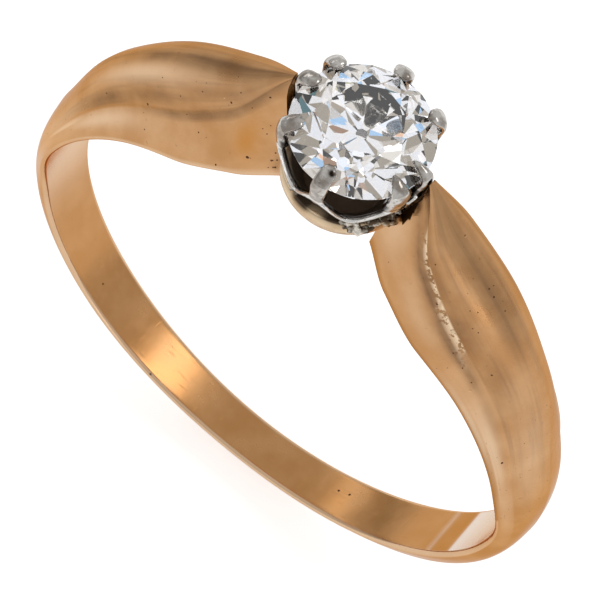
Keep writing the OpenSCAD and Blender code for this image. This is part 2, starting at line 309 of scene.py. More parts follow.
def rose_gold():
    n = Nodes("rose_gold_worn_painted_light")
    cloudy = n.ramp(n.noise(0.8, 4), 0.3, 0.7)
    colour = n.mix(cloudy, ROSE_DEEP, ROSE_PALE)
    satin = n.attribute("satin")
    streaks = n.math("MULTIPLY", n.ramp(n.flow(7.0, 0.45), 0.45, 0.72), satin)
    smear = n.ramp(n.noise(1.1, 5), 0.3, 0.75, 0.6, 1.0)
    # Painted shade in streaks, creases and ends, partly tarnish, broken up by a smear
    shade_and_tarnish = n.math("MULTIPLY", n.attribute("shade_and_tarnish"), smear)
    colour = n.mix(n.attribute("stain"), colour, AMBER)
    colour = n.mix(n.math("MULTIPLY", streaks, 0.45), colour, STREAK_BROWN)
    # Painted highlight: paler peach where the surface should catch more light
    colour = n.mix(n.attribute("painted_highlight"), colour, HIGHLIGHT_PEACH)
    colour = n.mix(shade_and_tarnish, colour, SHADE_AND_TARNISH_BROWN)
    ragged = n.ramp(n.noise(5.0, 4), 0.41, 0.49)
    # Painted highlight along the crease, made ragged like rubbed metal
    rubbed_highlight = n.math("MULTIPLY", n.attribute("rubbed_highlight"), ragged)
    colour = n.mix(rubbed_highlight, colour, RUBBED_HIGHLIGHT_COLOUR)
    # Painted reflection: near-white glare where the bore should flash
    colour = n.mix(n.attribute("painted_glare"), colour, PAINTED_FLASH_WHITE)
    spots = n.math("MULTIPLY", n.pits(1.1, 0.055), n.ramp(n.noise(0.45, 1), 0.45, 0.55))
    colour = n.mix(spots, colour, SPOT_DARK)
    crust = n.ramp(n.math("ADD", n.attribute("scorch"),
                          n.math("MULTIPLY", n.noise(6.0, 5), 0.6)), 0.78, 0.84)
    colour = n.mix(crust, colour, BURNT)
    along = n.ramp(n.noise(1.0, 2, stretch=(1.0, 16.0, 1.0)), 0.62, 0.74)
    across = n.ramp(n.noise(1.3, 2, stretch=(9.0, 1.0, 2.0)), 0.66, 0.76)
    scratches = n.math("MAXIMUM", along, across)
    rough = n.ramp(n.noise(0.8, 4), 0.3, 0.7, 0.12, 0.2)
    rough = n.math("ADD", rough, n.math("MULTIPLY", satin, 0.13))
    rough = n.math("ADD", rough, n.math("MULTIPLY", n.attribute("soft"), 0.08))
    rough = n.math("ADD", rough, n.math("MULTIPLY", shade_and_tarnish, 0.12))
    rough = n.math("ADD", rough, n.math("MULTIPLY", crust, 0.2))
    normal = n.bump(n.noise(0.5, 2), 0.012)
    normal = n.bump(n.math("MULTIPLY", n.flow(11.0, 0.5), satin), 0.008, before=normal)
    normal = n.bump(scratches, 0.0014, before=normal)
    normal = n.bump(spots, -0.012, before=normal)
    n.set(Base_Color=colour, Metallic=1.0, Roughness=rough, Normal=normal,
          Specular_Tint=ROSE_TINT)
    return n.material


YELLOW_DEEP, YELLOW_PALE = (0.60, 0.40, 0.22), (0.84, 0.65, 0.43)
CUP_SOOT_AND_SHADE = (0.08, 0.054, 0.036)


def yellow_gold():
    n = Nodes("yellow_gold_soldered")
    colour = n.mix(n.ramp(n.noise(0.9, 3), 0.35, 0.65), YELLOW_DEEP, YELLOW_PALE)
    # Painted shade inside the cup and in the groove, with burnt places
    colour = n.mix(n.attribute("soot_and_shade"), colour, CUP_SOOT_AND_SHADE)
    rough = n.math("ADD", n.ramp(n.noise(2.0, 3), 0.3, 0.7, 0.18, 0.32),
                   n.math("MULTIPLY", n.attribute("soot_and_shade"), 0.3))
    normal = n.bump(n.noise(1.6, 3), 0.012)
    n.set(Base_Color=colour, Metallic=1.0, Roughness=rough, Normal=normal)
    return n.material


CROWN_DEEP, CROWN_PALE = (0.34, 0.30, 0.265), (0.70, 0.67, 0.63)
CROWN_DENT = (0.20, 0.165, 0.135)
CROWN_RIM_HIGHLIGHT = (0.86, 0.84, 0.81)
CROWN_SOOT_AND_SHADE = (0.022, 0.014, 0.009)


def white_metal():
    n = Nodes("white_metal_satin")
    colour = n.mix(n.ramp(n.noise(2.4, 5), 0.35, 0.62), CROWN_DEEP, CROWN_PALE)
    dents = n.ramp(n.noise(9.0, 3), 0.6, 0.72)
    colour = n.mix(n.math("MULTIPLY", dents, 0.55), colour, CROWN_DENT)
    # Painted highlight along the ribbon's rims
    colour = n.mix(n.attribute("edge"), colour, CROWN_RIM_HIGHLIGHT)
    # Painted shade inside the crown and in the claw's hole, partly soot
    colour = n.mix(n.attribute("soot_and_shade"), colour, CROWN_SOOT_AND_SHADE)
    rough = n.ramp(n.noise(3.0, 3), 0.3, 0.7, 0.10, 0.22)
    normal = n.bump(n.noise(3.2, 4), 0.010)
    normal = n.bump(dents, -0.008, before=normal)
    n.set(Base_Color=colour, Metallic=1.0, Roughness=rough, Normal=normal)
    return n.material


SOLDER_PIT = (0.015, 0.010, 0.007)
# Pale and dark end of each solder's colour
SOLDER_COLOURS = {
    "solder_pale": ((0.62, 0.50, 0.36), (0.16, 0.11, 0.07)),
    "solder_grey": ((0.84, 0.79, 0.70), (0.10, 0.07, 0.045)),
    "solder_yellow": ((0.62, 0.56, 0.33), (0.16, 0.12, 0.07)),
}


def solder(name, pale, dark):
    n = Nodes(name)
    colour = n.mix(n.ramp(n.noise(2.6, 4), 0.42, 0.6), dark, pale)
    colour = n.mix(n.pits(3.5, 0.2), colour, SOLDER_PIT)
    rough = n.ramp(n.noise(3.0, 3), 0.3, 0.7, 0.25, 0.6)
    normal = n.bump(n.noise(3.2, 4), 0.05)
    n.set(Base_Color=colour, Metallic=1.0, Roughness=rough, Normal=normal)
    return n.material


def plain_metal(name, colour, rough):
    n = Nodes(name)
    n.set(Base_Color=n.mix(n.ramp(n.noise(5.0, 2), 0.3, 0.7), colour,
                           tuple(min(1.0, c * 1.4) for c in colour)),
          Metallic=1.0, Roughness=rough)
    return n.material


def diamond():
    n = Nodes("diamond_clear")
    n.set(Base_Color=(1.0, 0.995, 0.985), Roughness=0.0, IOR=2.42, Transmission_Weight=1.0)
    return n.material


ROSE = rose_gold()
YELLOW = yellow_gold()
WHITE = white_metal()
PALE_SOLDER, GREY_SOLDER, GREEN_SOLDER = (
    solder(name, *colours) for name, colours in SOLDER_COLOURS.items())
PIT_DARK = plain_metal("pit_dark", (0.10, 0.045, 0.022), 0.5)
NICK_BRIGHT = plain_metal("nick_bright", (0.62, 0.39, 0.22), 0.3)
STONE = diamond()


def paint(piece, name, values):
    layer = piece.data.attributes.new(name, "FLOAT", "POINT")
    layer.data.foreach_set("value", values)


# ---- Shank ----

BORE_STEPS = 8
BEVEL_STEPS = 5
WALL_STEPS = 12
DOME_STEPS = 22
HOOP_RINGS = 400
CAP_STEPS = 8
# The hoop's corner is fully rounded up to the first angle and sharp from the second
SOFT_START = 122
SOFT_END = 152
SOFT_PASSES = 60


def half_point(part, t, angle):
    """A point of the half section: y and the height above the bore."""
    w = curve(HALF_WS, angle)
    s = max(0.01, min(curve(TOP_WS, angle), w - 0.01))
    c = curve(WALL_HS, angle)
    h = max(curve(CROWN_HS, angle), c)
    if part == "bore":
        return (w - BORE_BEVEL) * t, 0.0
    if part == "bevel":
        turn = math.radians(90 * t)
        return w - BORE_BEVEL * (1 - math.sin(turn)), BORE_BEVEL * (1 - math.cos(turn))
    if part == "wall":
        swell = FLANK_SWELL * math.sin(math.pi * t)
        return w + (s - w) * t + swell, lerp(BORE_BEVEL, c, t)
    turn = math.radians(90 * t)
    return s * math.cos(turn), c + (h - c) * math.sin(turn)


def softened(half):
    """Moves that round off the corner between wall and dome where the hoop has no crease:
    for each whole degree, one (y, height) move for each column of the half section."""
    table = []
    first = half.index(("wall", 1 / WALL_STEPS))
    for angle in range(SOFT_END + 2):
        share = 1 - smooth_step(SOFT_START, SOFT_END, angle)
        outline = [half_point(part, t, angle) for part, t in half]
        outline.append(half_point("dome", 1.0, angle))
        smooth = list(outline)
        for _ in range(SOFT_PASSES):
            smooth = smooth[:first] + [
                tuple((a + 2 * b + c) / 4 for a, b, c in zip(*smooth[i - 1:i + 2]))
                for i in range(first, len(half))] + smooth[-1:]
        table.append([(share * (q[0] - p[0]), share * (q[1] - p[1]))
                      for p, q in zip(outline, smooth)])
    return table


def section_columns():
    """The section's loop as (side, part, t), from the bore round one side to the top and
    down the other."""
    half = [("bore", i / BORE_STEPS) for i in range(1, BORE_STEPS + 1)]
    half += [("bevel", i / BEVEL_STEPS) for i in range(1, BEVEL_STEPS + 1)]
    half += [("wall", i / WALL_STEPS) for i in range(1, WALL_STEPS + 1)]
    half += [("dome", i / DOME_STEPS) for i in range(1, DOME_STEPS)]
    one = [(1, part, t) for part, t in half]
    other = [(-1, part, t) for part, t in reversed(half)]
    moves = list(range(len(half)))
    places = moves + [len(half)] + moves[::-1] + [None]
    return one + [(1, "dome", 1.0)] + other + [(1, "bore", 0.0)], places, softened(half)


def bezel_out_r(z):
    """Outer radius of the under-bezel at height z."""
    foot_r, foot_z = BEZEL_FOOT
    waist_r, waist_z = BEZEL_WAIST
    rim_r, rim_z = BEZEL_RIM
    if z <= foot_z:
        return foot_r
    if z <= waist_z:
        low = (waist_z - z) / (waist_z - foot_z)
        return foot_r + (waist_r - foot_r) * math.sqrt(max(0.0, 1 - low * low))
    return lerp(waist_r, rim_r, min(1.0, (z - waist_z) / (rim_z - waist_z)))


def room_r(z):
    """Radius that the shoulders' ends are cut back to at height z."""
    if z <= BEZEL_RIM[1]:
        return bezel_out_r(z) + SOLDER_T
    top_z = GIRDLE_Z - CLAW_SEAT * 3
    t = min(1.0, (z - BEZEL_RIM[1]) / (top_z - BEZEL_RIM[1]))
    return lerp(BEZEL_RIM[0] + SOLDER_T, CLAW_OUT_R + TIP_GAP, t)


# Hoop angles between which every column ends, and how often that range is halved
END_RANGE = (140.0, 178.0)
END_HALVINGS = 30


def end_angle(part, t):
    """Hoop angle at which a column of the section meets the setting's room."""
    low, high = END_RANGE
    for _ in range(END_HALVINGS):
        mid = (low + high) / 2
        y, h = half_point(part, t, min(mid, SHANK_END) if part != "bore" else mid)
        x, y, z = on_hoop(mid, y, h)
        if math.hypot(x, y) > room_r(z):
            low = mid
        else:
            high = mid
    return low


def shank():
    columns, places, moves = section_columns()
    ends = [end_angle(part, t) for _, part, t in columns]
    points = []
    for i in range(HOOP_RINGS + 1):
        u = 2 * i / HOOP_RINGS - 1
        for (side, part, t), end, place in zip(columns, ends, places):
            angle = u * end
            y, h = half_point(part, t, abs(angle))
            degree = int(abs(angle))
            if place is not None and degree < SOFT_END:
                low, high = moves[degree][place], moves[degree + 1][place]
                y += lerp(low[0], high[0], abs(angle) - degree)
                h += lerp(low[1], high[1], abs(angle) - degree)
            points.append(on_hoop(angle, side * y, h))
    m = len(columns)
    faces = []
    for i in range(HOOP_RINGS):
        for j in range(m):
            q = (j + 1) % m
            faces.append((i * m + q, i * m + j, (i + 1) * m + j, (i + 1) * m + q))
    # The ends, as rows of the setting's round surface from flank to flank
    half = [j for j, (side, part, _) in enumerate(columns) if side == 1 and part != "bore"]
    for ring in (0, HOOP_RINGS):
        sign = -1 if ring == 0 else 1
        start = len(points)
        for j in half:
            x, y, z = points[ring * m + j]
            r = math.hypot(x, y)
            for k in range(CAP_STEPS + 1):
                across = lerp(-y, y, k / CAP_STEPS)
                points.append((sign * math.sqrt(max(0.0, r * r - across * across)), across, z))
        row = CAP_STEPS + 1
        for a in range(len(half) - 1):
            for k in range(CAP_STEPS):
                at = start + a * row + k
                face = (at, at + 1, at + row + 1, at + row)
                faces.append(face if sign < 0 else face[::-1])
    piece = add_mesh("shank_skin", points, faces, ROSE, sharp=50)
    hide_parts("shank")
    return piece, columns, ends


# Marks on the worn gold, dark streaks of painted shade standing for dark reflections, partly
# tarnish, and stains: hoop angle and place in the section at the mark's middle, then how far it
# reaches in each, and how strong it is. Minus angles are the left shoulder.
FRONT, REAR = -1, 1
SHADE_STREAKS = (
    (FRONT, "dome", 164, 0.95, 9, 0.20, 0.30),
    (FRONT, "dome", 154, 0.85, 7, 0.16, 0.36),
    (FRONT, "dome", 146, 0.74, 5, 0.14, 0.36),
    (FRONT, "dome", 160, 0.10, 9, 0.16, 0.60),
    (FRONT, "dome", 150, 0.12, 8, 0.20, 0.66),
    (FRONT, "dome", 139, 0.22, 7, 0.24, 0.42),
    (FRONT, "wall", 158, 0.86, 12, 0.11, 1.0),
    (FRONT, "wall", 146, 0.80, 10, 0.15, 0.95),
    (FRONT, "wall", 134, 0.80, 12, 0.20, 0.30),
    (FRONT, "dome", -160, 0.87, 11, 0.10, 0.78),
    (FRONT, "dome", -146, 0.84, 8, 0.11, 0.70),
    (FRONT, "dome", -132, 0.20, 10, 0.14, 0.80),
    (FRONT, "dome", -146, 0.24, 9, 0.14, 0.62),
    (FRONT, "dome", -160, 0.34, 9, 0.13, 0.50),
    (FRONT, "wall", -158, 0.96, 14, 0.08, 0.85),
    (FRONT, "wall", -169.3, 0.12, 1.0, 0.16, 0.6),
    (REAR, "dome", -156, 0.30, 16, 0.60, 0.45),
    (REAR, "dome", 160, 0.55, 14, 0.25, 0.25),
    (FRONT, "wall", 116, 0.00, 20, 0.22, 0.35),
)
STAINS = (
    (FRONT, "wall", -164.3, 0.50, 1.9, 0.28, 1.0),
    (REAR, "wall", 148, 0.70, 22, 0.9, 1.0),
    (REAR, "wall", 110, 0.50, 20, 0.8, 0.40),
    (FRONT, "wall", 150, 0.20, 14, 0.3, 0.30),
    (FRONT, "wall", 116, 0.00, 20, 0.25, 0.90),
    (FRONT, "dome", -122, 0.03, 17, 0.09, 0.80),
)
# Pits in the gold: hoop angle, place in the section, radius in millimetres
PITS = (
    ("dome", 154.1, 0.80, 0.022), ("dome", 152.7, 0.81, 0.026), ("dome", 154.0, 0.93, 0.018),
    ("dome", 149.9, 0.88, 0.020), ("dome", 153.0, 0.43, 0.016), ("dome", 152.2, 0.48, 0.018),
    ("dome", 150.2, 0.33, 0.018), ("dome", 149.2, 0.38, 0.018), ("wall", 143.5, 0.79, 0.018),
    ("wall", 140.0, 0.71, 0.018), ("dome", 140.6, 0.22, 0.028), ("wall", 119.3, 0.71, 0.034),
    ("wall", 156.1, 0.95, 0.026), ("dome", 161.5, 0.16, 0.020), ("wall", 147.0, 0.71, 0.020),
    ("dome", -131.8, 0.25, 0.022), ("dome", -143.5, 0.08, 0.036), ("dome", -152.2, 0.25, 0.018),
    ("dome", -156.6, 0.38, 0.018), ("dome", -161.9, 0.20, 0.030), ("dome", -163.2, 0.38, 0.020),
    ("wall", -167.2, 0.88, 0.028), ("dome", -148.0, 0.52, 0.016), ("wall", -164.6, 0.29, 0.042),
    ("wall", -152.9, 0.96, 0.020), ("wall", -155.8, 0.70, 0.022), ("wall", -159.1, 0.12, 0.028),
    ("wall", -166.6, 0.62, 0.016), ("wall", -167.2, 0.54, 0.020), ("wall", -167.6, 0.55, 0.016),
    ("wall", -165.0, 0.95, 0.016), ("dome", -157.0, 0.52, 0.014), ("wall", -142.6, 0.46, 0.018),
    ("wall", -168.0, 0.14, 0.030), ("wall", -168.6, 0.09, 0.034), ("wall", -168.5, 0.22, 0.022),
    ("wall", -168.2, 0.18, 0.020), ("wall", -167.6, 0.10, 0.016), ("wall", -168.6, 0.28, 0.014),
    ("wall", -168.8, 0.15, 0.026), ("wall", -168.8, 0.33, 0.014), ("wall", -168.3, 0.04, 0.024))
# Fine pits and nicks strewn over the shoulders: how many, and their range of hoop angles
FINE_PITS = 130
FINE_NICKS = 60
STREWN = (98, 166)
# Where the crease is rubbed and painted bright as a highlight: from and to in hoop angle, place,
# half width
RUBBED_HIGHLIGHTS = ((145.5, 157.0, 0.985, 0.085), (155.0, 166.5, 0.995, 0.045),
          (142.0, 149.0, 0.80, 0.025))
# Painted highlights: places painted paler peach, as if they caught more light
PAINTED_HIGHLIGHTS = (
    (FRONT, "wall", 123, 0.50, 13, 0.28, 0.55),
    (FRONT, "wall", 100, 0.50, 14, 0.6, 0.30),
    (FRONT, "wall", -99, 0.60, 18, 0.8, 0.70),
    (FRONT, "dome", -106, 0.15, 14, 0.45, 0.62),
    (FRONT, "wall", -127, 0.70, 14, 0.3, 0.60),
    (FRONT, "wall", 156, 0.45, 7, 0.22, 0.22),
    (REAR, "dome", 120, 0.3, 18, 0.6, 0.25),
    (REAR, "dome", 157, 0.08, 11, 0.06, 0.75),
    (FRONT, "wall", 121, 0.36, 16, 0.07, 0.65),
    (FRONT, "wall", 169, 0.40, 4, 0.30, 0.45),
    (FRONT, "dome", 117, 0.60, 13, 0.4, 0.30),
    (FRONT, "dome", -142, 0.57, 13, 0.15, 0.55),
    (FRONT, "wall", 129, 0.13, 12, 0.15, 0.60),
    (FRONT, "wall", -112, 0.90, 12, 0.16, 0.90),
)
# Stretches inside the hoop painted white as a flash of reflection: from and to in hoop angle,
# strength
PAINTED_GLARES = ((54.4, 57.2, 0.22), (62.5, 97.0, 1.0))
# The bore is painted palest, as a highlight, around this hoop angle, over this reach, with some
# painted glare
BORE_HIGHLIGHT = (-98, 18)
BORE_HIGHLIGHT_GLARE = 0.85
# Degrees over which a painted flash fades at each end, and how amber the rest of the bore is
FLASH_FADE = 1.5
BORE_AMBER = 0.4
# The bore's edge is amber with painted shade beyond this hoop angle, and painted bright as a
# highlight before it
EDGE_SHADED_FROM = 100
EDGE_AMBER, EDGE_SHADE, EDGE_HIGHLIGHT = 0.8, 0.35, 0.5


# The crease between dome and wall: where it starts and is whole, how dark its painted shade is at
# the front and at the rear, and how wide it is on the right and on the left
CREASE = (134, 152)
CREASE_SHADE = {FRONT: 0.75, REAR: 0.3}
CREASE_WIDTH = (0.05, 0.08)
# The dome is satin from the second hoop angle on
SATIN = (95, 125)

FLAKE_SIDES = 8
FLAKE_LIFT = 0.004
STREW_SEED = 7
# Of the strewn pits and nicks: their places in the section, their radii in millimetres and
# how much longer than wide a nick is; then how oval a pit is
STREWN_PLACES = (0.08, 0.95)
FINE_PIT_R = (0.006, 0.013)
NICK_R = (0.004, 0.008)
NICK_STRETCH = (5, 14)
PIT_STRETCH = 1.25
FINE_PIT_STRETCH = 1.2
# The right shoulder is burnt in front of this y and above this z, fading out between these
# radii; and how dark the shoulders' ends are painted, as their shadow
SCORCH_Y = 0.3
SCORCH_Z = 10.9
SCORCH_R = (2.12, 2.6)
END_SHADOW = 0.9


def mark(marks, side, part, t, angle):
    strength = 0.0
    for mark_side, mark_part, at, place, reach, spread, full in marks:
        if mark_side == side and mark_part == part:
            strength = max(strength, full * bell(angle, at, reach) * bell(t, place, spread))
    return strength


def marks_at(side, part, t, angle):
    """What is painted at one place of the section: the value of each attribute."""
    crease = smooth_step(*CREASE, abs(angle))
    narrow = CREASE_WIDTH[angle < 0]
    # Painted shade streaks, stains and painted highlights from the tables
    values = {"shade_and_tarnish": mark(SHADE_STREAKS, side, part, t, angle),
              "stain": mark(STAINS, side, part, t, angle),
              "painted_highlight": mark(PAINTED_HIGHLIGHTS, side, part, t, angle)}
    if part == "wall":
        # Painted shade along the crease, at the top of the wall
        edge = crease * smooth_step(1 - narrow * 2, 1.0, t)
        values["shade_and_tarnish"] = max(values["shade_and_tarnish"], CREASE_SHADE[side] * edge)
        values["across"] = t - 1 if side == FRONT else 3 - t
        if side == FRONT:
            values["rubbed_highlight"] = max(
                smooth_step(start, start + 2, angle) * (1 - smooth_step(end - 2, end, angle))
                * bell(t, place, spread) for start, end, place, spread in RUBBED_HIGHLIGHTS)
    elif part == "dome":
        # Painted shade along the crease, at the foot of the dome
        edge = crease * bell(t, 0.0, narrow)
        values["shade_and_tarnish"] = max(values["shade_and_tarnish"], CREASE_SHADE[side] * edge)
        values["across"] = t if side == FRONT else 2 - t
        values["satin"] = smooth_step(*SATIN, abs(angle))
    elif part == "bore":
        # Painted white glare and a painted pale highlight inside the bore
        flash = max(full * smooth_step(start, start + FLASH_FADE, angle)
                    * (1 - smooth_step(end - FLASH_FADE, end, angle))
                    for start, end, full in PAINTED_GLARES)
        # Painted pale highlight on the bore around one hoop angle
        pale = bell(angle, *BORE_HIGHLIGHT)
        values["painted_glare"] = max(flash, BORE_HIGHLIGHT_GLARE * pale ** 2)
        values["painted_highlight"] = pale
        values["soft"] = 1.0
        values["stain"] = BORE_AMBER * (1 - min(1.0, flash * 3)) * (1 - pale)
        values["across"] = side * t
    # The bevel: amber stain with painted shade past the angle, painted highlight before it
    elif angle > EDGE_SHADED_FROM:
        values["stain"], values["shade_and_tarnish"] = EDGE_AMBER, EDGE_SHADE
    else:
        values["painted_highlight"] = EDGE_HIGHLIGHT
    return values


LAYERS = ("shade_and_tarnish", "rubbed_highlight", "stain", "painted_highlight", "painted_glare", "scorch", "satin", "soft", "across",
          "along")


def paint_shank(piece, columns):
    """Painted shade in the creases, on the ends and in streaks along the shoulders, partly
    tarnish; rubbed edges painted bright as highlights; stains; and painted highlights and white
    glare.
    """
    m = len(columns)
    painted = (HOOP_RINGS + 1) * m
    layers = {name: [] for name in LAYERS}
    for n, vertex in enumerate(piece.data.vertices):
        x, y, z = vertex.co / MM
        angle = math.degrees(math.atan2(x, -z))
        # The shoulders' end faces get painted shadow
        values = {"shade_and_tarnish": END_SHADOW} if n >= painted else marks_at(*columns[n % m], angle)
        values["along"] = angle / 10
        if x > 0 and y < SCORCH_Y and z > SCORCH_Z:
            values["scorch"] = 1 - smooth_step(*SCORCH_R, math.hypot(x, y))
        for name, layer in layers.items():
            layer.append(values.get(name, 0.0))
    for name, layer in layers.items():
        paint(piece, name, layer)


def flake(at, normal, size, stretch, turn):
    """A small disc lying on the skin: its points, as a centre and a rim."""
    across = normal.orthogonal().normalized()
    along = normal.cross(across)
    middle = at + normal * FLAKE_LIFT
    rim = []
    for k in range(FLAKE_SIDES):
        a = 2 * math.pi * k / FLAKE_SIDES
        u, v = size * stretch * math.cos(a), size * math.sin(a)
        rim.append(middle + across * (u * math.cos(turn) - v * math.sin(turn))
                   + along * (u * math.sin(turn) + v * math.cos(turn)))
    return [middle] + rim


def strew(piece, columns, ends):
    """Pits as small dark discs, and nicks as thin bright ones, on the shank's skin."""
    m = len(columns)
    strewing = random.Random(STREW_SEED)

    def place(side, part, t, angle):
        j = min((abs(t - columns[j][2]), j) for j in range(m) if columns[j][:2] == (side, part))[1]
        along = (angle / ends[j] + 1) / 2 * HOOP_RINGS
        i = int(along)
        near, far = (piece.data.vertices[k * m + j] for k in (i, i + 1))
        return (near.co.lerp(far.co, along - i) / MM,
                near.normal.lerp(far.normal, along - i).normalized())

    def anywhere():
        part = strewing.choice(("dome", "dome", "wall"))
        angle = strewing.choice((-1, 1)) * strewing.uniform(*STREWN)
        side = strewing.choice((FRONT, FRONT, REAR))
        return place(side, part, strewing.uniform(*STREWN_PLACES), angle)

    pits = [flake(*place(FRONT, part, t, angle), size, PIT_STRETCH, angle)
            for part, angle, t, size in PITS]
    pits += [flake(*anywhere(), strewing.uniform(*FINE_PIT_R), FINE_PIT_STRETCH, k)
             for k in range(FINE_PITS)]
    nicks = [flake(*anywhere(), strewing.uniform(*NICK_R), strewing.uniform(*NICK_STRETCH),
                   strewing.uniform(0, math.pi)) for _ in range(FINE_NICKS)]
    for name, discs, material in (("pits", pits, PIT_DARK), ("nicks", nicks, NICK_BRIGHT)):
        points = [p for disc in discs for p in disc]
        faces = [(base, base + 1 + k, base + 1 + (k + 1) % FLAKE_SIDES)
                 for base in range(0, len(points), FLAKE_SIDES + 1) for k in range(FLAKE_SIDES)]
        add_mesh(name, points, faces, material)


# ---- Under-bezel ----

LATHE_STEPS = 160
# Burnt places under the rim: bearing, reach, depth below the rim, strength
SCORCHES = ((-99, 9, 0.34, 1.6), (-66, 12, 0.16, 1.4), (-25, 16, 0.4, 1.2))


def lathe(profile):
    """Points and faces of a closed profile (radius, z) turned about Z."""
    points = []
    for k in range(LATHE_STEPS):
        a = math.radians(360 * k / LATHE_STEPS)
        points += [(r * math.cos(a), r * math.sin(a), z) for r, z in profile]
    m = len(profile)
    faces = []
    for k in range(LATHE_STEPS):
        n = (k + 1) % LATHE_STEPS
        for j in range(m):
            q = (j + 1) % m
            faces.append((k * m + j, n * m + j, n * m + q, k * m + q))
    return points, faces


def under_bezel():
    foot_r, foot_z = BEZEL_FOOT
    waist_r, waist_z = BEZEL_WAIST
    rim_r, rim_z = BEZEL_RIM
    lip = 0.07
    outer = [(foot_r - 0.05, foot_z), (foot_r - 0.01, foot_z + 0.01)]
    for i in range(1, 15):
        t = math.radians(90 * i / 14)
        outer.append((foot_r + (waist_r - foot_r) * math.sin(t),
                      waist_z - (waist_z - foot_z) * math.cos(t)))
    outer += [(rim_r + 0.005, rim_z - 0.13), (rim_r - 0.025, rim_z - 0.105),
              (rim_r - 0.02, rim_z - 0.085), (rim_r + 0.01, rim_z - lip),
              (rim_r + 0.01, rim_z - 0.025), (rim_r - 0.01, rim_z - 0.005),
              (rim_r - 0.03, rim_z)]
    inner = [(rim_r - BEZEL_T + 0.03, rim_z), (rim_r - BEZEL_T, rim_z - 0.03),
             (waist_r - BEZEL_T, waist_z), (foot_r - BEZEL_T + 0.1, foot_z + BEZEL_T + 0.12),
             (foot_r - BEZEL_T, foot_z + BEZEL_T), (BEZEL_HOLE_R, foot_z + BEZEL_T),
             (BEZEL_HOLE_R, foot_z)]
    points, faces = lathe(outer + inner)
    piece = add_mesh("under_bezel_cup", points, faces, YELLOW, sharp=45)
    soot_and_shade = []
    for vertex in piece.data.vertices:
        x, y, z = vertex.co / MM
        bearing = math.degrees(math.atan2(y, x))
        # Painted shade inside the cup and painted shadow in the groove under the rim; the burnt
        # places are real
        inside = smooth_step(0.03, 0.1, bezel_out_r(z) - math.hypot(x, y))
        groove_shadow = 0.8 * bell(z, rim_z - 0.1, 0.03)
        burnt = max(full * bell(bearing, at, reach) * smooth_step(-depth, -depth / 2, z - rim_z)
                    for at, reach, depth, full in SCORCHES)
        soot_and_shade.append(max(inside, groove_shadow, min(1.0, burnt)))
    paint(piece, "soot_and_shade", soot_and_shade)
    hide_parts("under_bezel")
    return piece


# Dents of ragged metal to a millimetre
DENTS = 7.0


def cast(name, bm, voxel, passes, material, ragged=0.0):
    """One skin over the overlapping millimetre shapes in bm, softened and then scaled;
    ragged is how deep the dents in it are."""
    mesh = bpy.data.meshes.new(name)
    bm.to_mesh(mesh)
    bm.free()
    piece = bpy.data.objects.new(name, mesh)
    bpy.context.scene.collection.objects.link(piece)
    remesh = piece.modifiers.new("one_skin", "REMESH")
    remesh.mode = "VOXEL"
    remesh.voxel_size = voxel
    soften = piece.modifiers.new("soften", "SMOOTH")
    soften.factor = 0.5
    soften.iterations = passes
    bpy.context.view_layer.update()
    done = bpy.data.meshes.new_from_object(
        piece.evaluated_get(bpy.context.evaluated_depsgraph_get()))
    piece.modifiers.clear()
    piece.data = done
    if ragged:
        normals = [v.normal.copy() for v in done.vertices]
        for vertex, normal in zip(done.vertices, normals):
            dent = noise.fractal(vertex.co * DENTS, 1.0, 2.0, 3)
            vertex.co += normal * ragged * dent
    done.transform(Matrix.Scale(MM, 4))
    for polygon in done.polygons:
        polygon.use_smooth = True
    done.materials.clear()
    done.materials.append(material)
    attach(piece, "root")
    return piece


# ---- Crown ----

# How broad each claw is, against the part's, and how its tip narrows
ROUND_TIP = (1.0, 0.98, 0.94, 0.72, 0.34)
LEAF_TIP = (1.0, 0.95, 0.74, 0.4, 0.12)
POINTED_TIP = (0.85, 0.7, 0.45, 0.22, 0.08)
CLAW_LOOKS = (
    (0.85, POINTED_TIP), (1.1, LEAF_TIP), (1.03, ROUND_TIP), (0.96, ROUND_TIP),
    (0.93, ROUND_TIP), (0.92, ROUND_TIP), (0.88, ROUND_TIP), (1.15, POINTED_TIP))
# A hole worn in the top of the front claw, painted as a dark spot of shade
CLAW_HOLE = (0.26, -1.83, 13.12)
CLAW_HOLE_R = 0.09
BAND_STATIONS = 480
CLAW_SIDES = 20
CLAW_RINGS = 30
CROWN_VOXEL = 0.03
# The crown's inside is painted dark, as shade with soot, from this depth under its skin, up to
# these heights, and the ribbon's rims are painted bright as highlights within this reach
INSIDE_SHADE_DEPTH = (0.06, 0.16)
INSIDE_SHADE_TOP = (GIRDLE_Z - 0.3, GIRDLE_Z - 0.1)
RIM_HIGHLIGHT_REACH = 0.05


def cone_r(z):
    t = min(1.0, (z - CROWN_FOOT_Z) / (GIRDLE_Z - CLAW_SEAT * 2 - CROWN_FOOT_Z))
    return BEZEL_RIM[0] + (CLAW_OUT_R - BEZEL_RIM[0]) * t


def band_z(bearing):
    """Lower edge of the wavy ribbon: it dips to the under-bezel in a broad gap."""
    i = max(k for k, claw in enumerate(CLAWS) if claw <= bearing)
    following = CLAWS[i + 1] if i + 1 < len(CLAWS) else CLAWS[0] + 360
    gap = following - CLAWS[i]
    depth = WAVE_H * min(1.0, (gap / BROAD_GAP) ** 2)
    u = (bearing - CLAWS[i]) / gap
    return CROWN_FOOT_Z + WAVE_H - depth * (1 - math.cos(2 * math.pi * u)) / 2


def skin(rings, joined=False):
    points = [p for ring in rings for p in ring]
    n, m = len(rings), len(rings[0])
    faces = []
    for i in range(n if joined else n - 1):
        k = (i + 1) % n
        for j in range(m):
            q = (j + 1) % m
            faces.append((i * m + j, i * m + q, k * m + q, k * m + j))
    if not joined:
        faces.append(tuple(range(m - 1, -1, -1)))
        faces.append(tuple((n - 1) * m + j for j in range(m)))
    return points, faces


